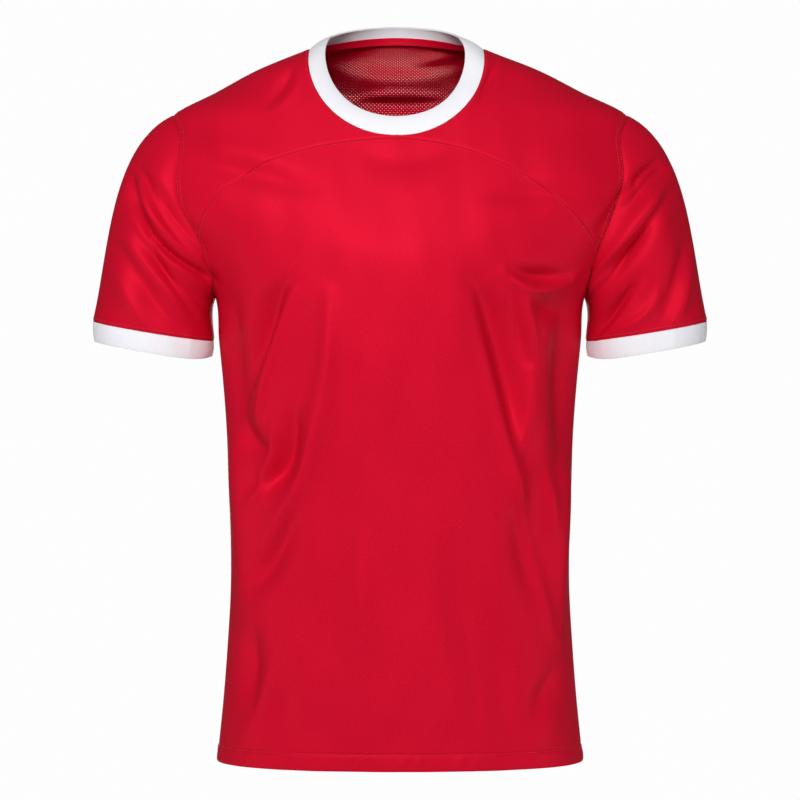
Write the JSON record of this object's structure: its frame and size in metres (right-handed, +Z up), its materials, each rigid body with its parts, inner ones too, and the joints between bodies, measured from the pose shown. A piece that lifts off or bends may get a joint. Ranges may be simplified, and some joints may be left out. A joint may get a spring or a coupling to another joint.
{
  "type": "football jersey",
  "caption": "Short-sleeved crew-neck football jersey, standing open as if worn, with an arched yoke seam, mesh back and contrast rib bands.",
  "frame": {"origin": "middle of the neck hole at the height of the inner ends of the shoulder seams, where the shoulders hold the jersey up", "axes": "+Z up, front of the jersey towards -Y, the wearer's left towards +X"},
  "size_m": [0.626, 0.2502, 0.7528],
  "materials": {
    "red_knit": "fine polyester double knit with a soft satin sheen",
    "red_mesh": "polyester mesh knit with small diamond holes",
    "white_rib": "flat matt rib knit, folded double"
  },
  "bodies": {
    "root": {"front_body": "red_knit", "yoke": "red_knit", "back": "red_mesh", "sleeve_right": "red_knit", "sleeve_left": "red_knit", "cuff_right": "white_rib", "cuff_left": "white_rib", "neckband": "white_rib", "neck_tape": "red_knit"}
  },
  "joints": []
}
